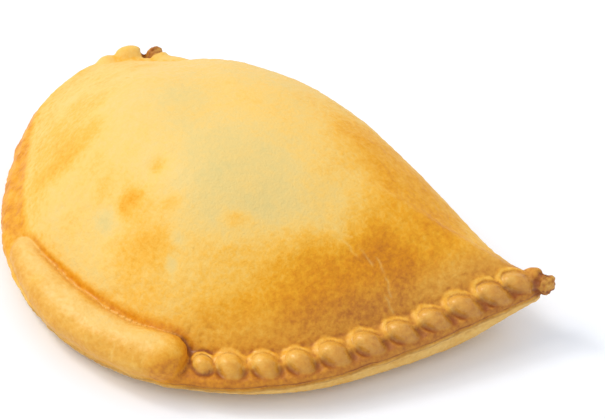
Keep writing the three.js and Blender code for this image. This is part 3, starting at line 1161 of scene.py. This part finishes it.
# %% How far the other parts have browned
PART_BROWNED = {
    # in the order in which they are laid on: browning, and how much of the part is covered
    "droop": (0.66, 1),
    "tuck": (0.74, 0.85),
    "strip": (0.72, 1),
    "ledge": (0.8, 1),
    # the pocket, the recess at the roll's blunt end: partly browning, partly painted shade
    "pocket": (0.84, 0.9),
    "bead": (0.4, 1),
    "hood": (0.5, 1),
    "under": (0.38, 1),
    "base": (0.6, 1),
    "knob": (0.72, 1),
}
PART_MOTTLE = {"droop": (0.16, 3), "under": (0.08, 9), "base": (0.2, 12), "knob": (0.35, 0.9)}
MOTTLE_SEED = {"droop": 26, "under": 27, "base": 28, "knob": 29}
BEAD_BROWNED = {"to_tip": 0.12, "outer": 0.18, "from": (-0.7, 0.4)}
# darker where the skin lies hollow: partly browning, partly painted shade
HOLLOW_BROWNING_AND_SHADE = 0.3
DROOP_BROWNS_FROM = (24, 44)  # along the seam, as the next one is
TOWARDS_TIP = (165, 215)
TO_TIP = smooth_step(at["rim"]["along"], *TOWARDS_TIP)


def own_browning(name, points, bead_at):
    browned = PART_BROWNED[name][0]
    if name == "bead":
        outer = BEAD_BROWNED["outer"] * smooth_step(bead_at["outer"], *BEAD_BROWNED["from"])
        browned = browned + BEAD_BROWNED["to_tip"] * TO_TIP + outer
    if name in PART_MOTTLE:
        browned = browned + waves(points, PART_MOTTLE[name], MOTTLE_SEED[name])
    return browned


def part_browning(points, part, at, creased):
    """The ovals and the roll first, then each other part over them."""
    browned = blend(spot_browning(points), roll_browning(points, at["roll"]), part["roll"])
    # hollows near the edge darkened: partly browning, partly painted shade
    browned = browned + HOLLOW_BROWNING_AND_SHADE * creased * (1 - part["under"]) * (1 - part["roll"])
    off_beads = 1 - part["bead"]
    covered = {
        **part,
        "droop": part["droop"] * smooth_step(at["rim"]["along"], *DROOP_BROWNS_FROM),
        "strip": part["strip"] * part["rim"] * off_beads * (1 - part["hood"]),
        "ledge": part["ledge"] * off_beads,
    }
    for name, (_, share) in PART_BROWNED.items():
        browned = blend(browned, own_browning(name, points, at["bead"]), share * covered[name])
    return np.clip(browned, 0, 1)


# %% Where brown and painted shade gather in lines
EDGE_LINES = [
    # how far under the seam it runs, half width, strength
    (1.1, 0.34, 2.0),
    (2.6, 0.3, 0.9),
]
EDGE_LINE = {"wave": (0.4, 5), "kept": 0.6, "gaps": (0.4, 4), "reach": 3, "from": (95, 125)}
CREASED = {"passes": 8, "full": 0.16, "until": (9, 14)}
CREASE_BY_BEADS = 0.4  # what is left of a crease away from the crevices
PAST_ROLL = 40  # along the roll
ABOVE_EDGE = (-1.5, 0)
# the knob's neck darkened in its groove: partly browning, partly painted shade
NECK_BROWN_AND_SHADE = 0.7
CLEAN_ROLL = (-0.5, 0.1)  # across the roll, in its radii


def edge_lines(points, rim_at):
    """Thin brown lines where the two layers of dough end: browning, and painted shade in the groove there."""
    wavy = rim_at["above"] + waves(points, EDGE_LINE["wave"], 30)
    total = sum(strength * hill(wavy + under, width) for under, width, strength in EDGE_LINES)
    broken = EDGE_LINE["kept"] + waves(points, EDGE_LINE["gaps"], 31)
    at_edge = hill(rim_at["inside"], EDGE_LINE["reach"]) * smooth_step(rim_at["along"], *EDGE_LINE["from"])
    return total * broken * at_edge


def creased_share(rim_at):
    """Where the skin near the edge lies hollow, from 0 to 1."""
    hollow = np.clip(hollows(CREASED["passes"]) / CREASED["full"], 0, 1)
    return hollow * (1 - smooth_step(rim_at["inside"], *CREASED["until"]))


def brown_and_shade_lines(points, part, at, creased):
    """Creases, crevices, the knobs' necks and the lines of the cut edge, from 0 to 1: browning and painted
    shade.
    """
    rim_at, roll_at = at["rim"], at["roll"]
    crevice = crevice_mask(at["bead"], rim_at)
    beside_beads = part["beaded"] * blend(CREASE_BY_BEADS, 1, crevice) * (1 - part["hood"])
    beside_roll = smooth_step(roll_at["along"], *ROLL_END) * (roll_at["along"] < PAST_ROLL)
    beside_roll = beside_roll * smooth_step(rim_at["above"], *ABOVE_EDGE)
    brown_and_shade = np.maximum(creased * np.maximum(beside_beads, beside_roll), crevice)
    brown_and_shade = brown_and_shade + NECK_BROWN_AND_SHADE * knob_neck(at["knob"]) + edge_lines(points, rim_at) * (1 - part["roll"])
    brown_and_shade = brown_and_shade * (1 - part["roll"] * smooth_step(roll_at["across"], *CLEAN_ROLL))
    return np.clip(brown_and_shade, 0, 1)


# %% [markdown]
# ## Plain dough and egg wash
#
# The brush misses some of the dough. The underside, the ledge and the outer sides of the beads stay plain,
# more so towards the tip, while beads, hoods and the crease behind the roll catch the most egg and shine. Two
# materials could show this, but wash and plain dough run into each other, so they are two shares instead.

# %% Plain dough and glaze
PLAIN = {"bead": (0.35, 0.8), "strip": (0.3, 0.65), "ledge": (0.25, 0.75)}  # at the roll and at the tip
PLAIN_BEAD_FROM = (-0.9, 0.1)  # along the bead, in its radii
PLAIN_ROLL = {"plain": 0.45, "less_at_end": 0.6}
PLAIN_UNDER = 0.9
GLAZED = {"bead": 1, "hood": 1, "droop": 0.4, "roll": 0.4, "tuck": 1}
LEAST_GLAZE = 0.12


def plain_share(part, at):
    """Where the dough has no egg on it, from 0 to 1."""
    plain = {name: blend(*shares, TO_TIP) * part[name] for name, shares in PLAIN.items()}
    at_end = smooth_step(at["roll"]["along"], *ROLL_END)
    kinds = [
        plain["bead"] * smooth_step(at["bead"]["outer"], *PLAIN_BEAD_FROM),
        plain["strip"] * (1 - part["hood"]),
        plain["ledge"],
        PLAIN_ROLL["plain"] * part["roll"] * (1 - PLAIN_ROLL["less_at_end"] * at_end),
        PLAIN_UNDER * part["under"],
        part["knob"],
    ]
    return np.maximum.reduce(kinds)


def glaze_share(part):
    shiny = [share * part[name] for name, share in GLAZED.items()]
    glaze = np.maximum.reduce([np.full(len(points), LEAST_GLAZE), *shiny])
    return np.clip(glaze * (1 - part["under"]), 0, 1)


# %% Store the attributes
def crust_attributes(points, part, at):
    creased = creased_share(at["rim"])
    return {
        "browned": part_browning(points, part, at, creased),
        # darker creases and crevices: partly browning, partly painted shade
        "crease_brown_and_shade": brown_and_shade_lines(points, part, at, creased),
        "tan": plain_share(part, at),
        "glaze": glaze_share(part),
        "pale": crack_mask(points),
    }


def store(mesh, name, values):
    layer = mesh.attributes.new(name, "FLOAT", "POINT")
    layer.data.foreach_set("value", values.astype(np.float32))


for name, values in crust_attributes(points, part, at).items():
    store(crust.data, name, values)
    print(f"{name}: mean {values.mean():.2f}, highest {values.max():.2f}")

# %% [markdown]
# ## Shader groups
#
# Crust owes its look to two things: how far the dough has browned, and the fine grain of flour and fat in it.
# Each is a node group here. The browning turns one number into a baked colour, once for dough with an egg
# wash and once for plain dough. The grain gives flecks for the colour and a height for the bump. A picture of
# crust could be wrapped round the pie instead, but it would stretch over the beads and bring its own light
# along. Groups with named sockets fit any other pastry too.

# %% Node helpers
def srgb(red, green, blue):
    """A colour named as on a screen, 0 to 255, as the linear values that nodes work in."""
    shares = [value / 255 for value in (red, green, blue)]
    return (*(s / 12.92 if s <= 0.04045 else ((s + 0.055) / 1.055) ** 2.4 for s in shares), 1)


def new_group(name, inputs, outputs):
    group = bpy.data.node_groups.new(name, "ShaderNodeTree")
    for label, kind, value in inputs:
        socket = group.interface.new_socket(label, in_out="INPUT", socket_type=kind)
        if value is not None:
            socket.default_value = value
    for label, kind in outputs:
        group.interface.new_socket(label, in_out="OUTPUT", socket_type=kind)
    return group, group.nodes.new("NodeGroupInput"), group.nodes.new("NodeGroupOutput")


def add_node(tree, kind, settings=None, inputs=None):
    """A node with its settings, and its inputs by name or number, as values or as sockets to link from."""
    node = tree.nodes.new(kind)
    for name, value in (settings or {}).items():
        setattr(node, name, value)
    for name, value in (inputs or {}).items():
        if isinstance(value, bpy.types.NodeSocket):
            tree.links.new(value, node.inputs[name])
        else:
            node.inputs[name].default_value = value
    return node


def calculate(tree, operation, *values):
    return add_node(tree, "ShaderNodeMath", {"operation": operation}, dict(enumerate(values))).outputs[0]


def mix_colours(tree, share, first, second):
    """The mix node keeps its colour sockets at the numbers 6 and 7, and its colour output at 2."""
    node = add_node(tree, "ShaderNodeMix", {"data_type": "RGBA"}, {0: share, 6: first, 7: second})
    return node.outputs[2]


def ramp(tree, share, stops):
    node = add_node(tree, "ShaderNodeValToRGB", inputs={"Fac": share})
    elements = node.color_ramp.elements
    elements[0].color, elements[-1].color = stops[0][1], stops[-1][1]
    for position, colour in stops[1:-1]:
        elements.new(position).color = colour
    return node.outputs["Color"]


# %% Browning: from a number to a colour
GLAZED_DOUGH = [
    (0.0, srgb(219, 197, 126)),
    (0.15, srgb(232, 200, 121)),
    (0.3, srgb(242, 198, 104)),
    (0.45, srgb(242, 183, 68)),
    (0.6, srgb(234, 162, 26)),
    (0.75, srgb(219, 139, 12)),
    (0.9, srgb(197, 117, 20)),
    (1.0, srgb(150, 80, 26)),
]
PLAIN_DOUGH = [
    (0.0, srgb(232, 206, 150)),
    (0.3, srgb(235, 192, 112)),
    (0.5, srgb(218, 164, 78)),
    (0.7, srgb(203, 142, 58)),
    (0.85, srgb(174, 110, 50)),
    (1.0, srgb(116, 66, 38)),
]


def browning_group():
    inputs = [("Browned", "NodeSocketFloat", 0.4), ("Plain", "NodeSocketFloat", 0.0)]
    group, given, made = new_group("oven_browning", inputs, [("Color", "NodeSocketColor")])
    glazed = ramp(group, given.outputs["Browned"], GLAZED_DOUGH)
    plain = ramp(group, given.outputs["Browned"], PLAIN_DOUGH)
    group.links.new(mix_colours(group, given.outputs["Plain"], glazed, plain), made.inputs["Color"])
    return group


# %% Grain: flecks for the colour, and a height for the bump
def grain_group():
    inputs = [
        ("Vector", "NodeSocketVector", None),
        ("Fleck Size", "NodeSocketFloat", 0.9),
        ("Pore Size", "NodeSocketFloat", 0.5),
    ]
    outputs = [("Fleck", "NodeSocketFloat"), ("Height", "NodeSocketFloat")]
    group, given, made = new_group("dough_grain", inputs, outputs)
    values = []
    for size, detail, roughness in (("Fleck Size", 3, 0.6), ("Pore Size", 2, 0.5)):
        scale = calculate(group, "DIVIDE", 1 / MM, given.outputs[size])
        sockets = {"Vector": given.outputs["Vector"], "Scale": scale}
        sockets |= {"Detail": detail, "Roughness": roughness}
        values.append(add_node(group, "ShaderNodeTexNoise", inputs=sockets).outputs["Fac"])
    group.links.new(calculate(group, "SUBTRACT", values[0], 0.5), made.inputs["Fleck"])
    group.links.new(calculate(group, "ADD", *values), made.inputs["Height"])
    return group


browning = browning_group()
dough_grain = grain_group()
print("groups:", browning.name, dough_grain.name)

# %% [markdown]
# ## The crust's material
#
# One material covers the whole pie, since it is one dough in one oven. It could be painted as an image, but
# here it only reads the attributes: browning and flecks pick the colour, creases darken it with browning and
# painted shade, cracks show the paler dough inside, and the egg wash lowers the roughness and adds a thin
# coat.

# %% Material
# the dark brown of creases and crevices: partly browning, partly painted shade
CREASE_BROWN_AND_SHADE_COLOUR = srgb(134, 66, 22)
CRACK_COLOUR = srgb(248, 204, 112)
FLECKS = {"size": 1.2, "least": 0.22, "browned": 0.35}
PORE_BUMP = {"size": 0.6, "strength": 0.6, "height": 0.18}
COVERED = {"crease_brown_and_shade": 0.88, "crack": 0.4}  # how much of the crust's colour each hides
ROUGHNESS = {"plain": 0.62, "glazed": 0.4}
COAT = {"weight": 0.45, "roughness": 0.26}
SPECULAR = 0.22


def crust_material():
    material = bpy.data.materials.new("browned_crust")
    material.use_nodes = True
    tree = material.node_tree
    shader = tree.nodes["Principled BSDF"]
    value = {}
    for name in ("browned", "crease_brown_and_shade", "tan", "glaze", "pale"):
        settings = {"attribute_type": "GEOMETRY", "attribute_name": name}
        value[name] = add_node(tree, "ShaderNodeAttribute", settings).outputs["Fac"]
    place = add_node(tree, "ShaderNodeTexCoord").outputs["Object"]
    sizes = {"Vector": place, "Fleck Size": FLECKS["size"], "Pore Size": PORE_BUMP["size"]}
    grain = add_node(tree, "ShaderNodeGroup", {"node_tree": dough_grain}, sizes)

    fleck_share = calculate(tree, "MULTIPLY_ADD", value["browned"], FLECKS["browned"], FLECKS["least"])
    flecked = calculate(tree, "MULTIPLY_ADD", grain.outputs["Fleck"], fleck_share, value["browned"])
    inputs = {"Browned": flecked, "Plain": value["tan"]}
    colour = add_node(tree, "ShaderNodeGroup", {"node_tree": browning}, inputs).outputs["Color"]
    # creases and crevices darkened: partly browning, partly painted shade
    in_brown_and_shade = calculate(tree, "MULTIPLY", value["crease_brown_and_shade"], COVERED["crease_brown_and_shade"])
    in_crack = calculate(tree, "MULTIPLY", value["pale"], COVERED["crack"])
    colour = mix_colours(tree, in_brown_and_shade, colour, CREASE_BROWN_AND_SHADE_COLOUR)
    colour = mix_colours(tree, in_crack, colour, CRACK_COLOUR)
    tree.links.new(colour, shader.inputs["Base Color"])

    smoother = ROUGHNESS["glazed"] - ROUGHNESS["plain"]
    roughness = calculate(tree, "MULTIPLY_ADD", value["glaze"], smoother, ROUGHNESS["plain"])
    tree.links.new(roughness, shader.inputs["Roughness"])
    coat = calculate(tree, "MULTIPLY", value["glaze"], COAT["weight"])
    tree.links.new(coat, shader.inputs["Coat Weight"])
    shader.inputs["Coat Roughness"].default_value = COAT["roughness"]
    shader.inputs["Specular IOR Level"].default_value = SPECULAR

    bump = {"Height": grain.outputs["Height"]}
    bump |= {"Strength": PORE_BUMP["strength"], "Distance": PORE_BUMP["height"] * MM}
    tree.links.new(add_node(tree, "ShaderNodeBump", inputs=bump).outputs["Normal"], shader.inputs["Normal"])
    return material


crust.data.materials.clear()
crust.data.materials.append(crust_material())
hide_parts("hand_pie")
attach(crust, "root")

# %% [markdown]
# ## A plain studio
#
# The pie lies on white, in soft light from the upper left that leaves a pale grey shadow on the right. Three
# area lights would do it too, but their edges show in the glaze. A white sky with one wide sun gives the same
# softness, and a small softbox adds the highlights on the beads.

# %% Floor
FLOOR_HALF = 3.0  # metres
FLOOR_COLOUR = (0.92, 0.94, 0.98, 1)


def add_floor():
    corners = [(x * FLOOR_HALF, y * FLOOR_HALF, 0) for x, y in ((-1, -1), (1, -1), (1, 1), (-1, 1))]
    mesh = bpy.data.meshes.new("studio_floor")
    mesh.from_pydata(corners, [], [(0, 1, 2, 3)])
    floor = bpy.data.objects.new("studio_floor", mesh)
    bpy.context.scene.collection.objects.link(floor)
    material = bpy.data.materials.new("studio_white")
    material.use_nodes = True
    shader = material.node_tree.nodes["Principled BSDF"]
    shader.inputs["Base Color"].default_value = FLOOR_COLOUR
    shader.inputs["Roughness"].default_value = 0.9
    shader.inputs["Specular IOR Level"].default_value = 0.1
    mesh.materials.append(material)
    return floor


floor = add_floor()
print("floor:", floor.name)

# %% Sky, sun and softbox
SKY = {"Color": (0.95, 0.99, 1.05, 1), "Strength": 0.85}
SUN = {"direction": (-0.5, -0.3, 0.81), "distance": 900, "power": 0.86}
SUN_LOOK = {"angle": math.radians(32), "color": (1.0, 0.91, 0.79)}
SOFTBOX = {"direction": (-0.55, -0.2, 0.8), "distance": 700, "power": 0.8}
SOFTBOX_LOOK = {"shape": "DISK", "size": 0.16}

world = bpy.data.worlds.new("studio_world")
world.use_nodes = True
for name, value in SKY.items():
    world.node_tree.nodes["Background"].inputs[name].default_value = value
bpy.context.scene.world = world
bpy.context.scene.view_settings.view_transform = "Standard"


def add_light(name, kind, place, look):
    data = bpy.data.lights.new(name, kind)
    data.energy = place["power"]
    for setting, value in look.items():
        setattr(data, setting, value)
    light = bpy.data.objects.new(name, data)
    direction = Vector(place["direction"]).normalized()
    light.location = direction * place["distance"] * MM
    light.rotation_euler = (-direction).to_track_quat("-Z", "Y").to_euler()
    bpy.context.scene.collection.objects.link(light)


add_light("wide_sun", "SUN", SUN, SUN_LOOK)
add_light("softbox", "AREA", SOFTBOX, SOFTBOX_LOOK)
print("lights:", [light.name for light in bpy.data.lights])
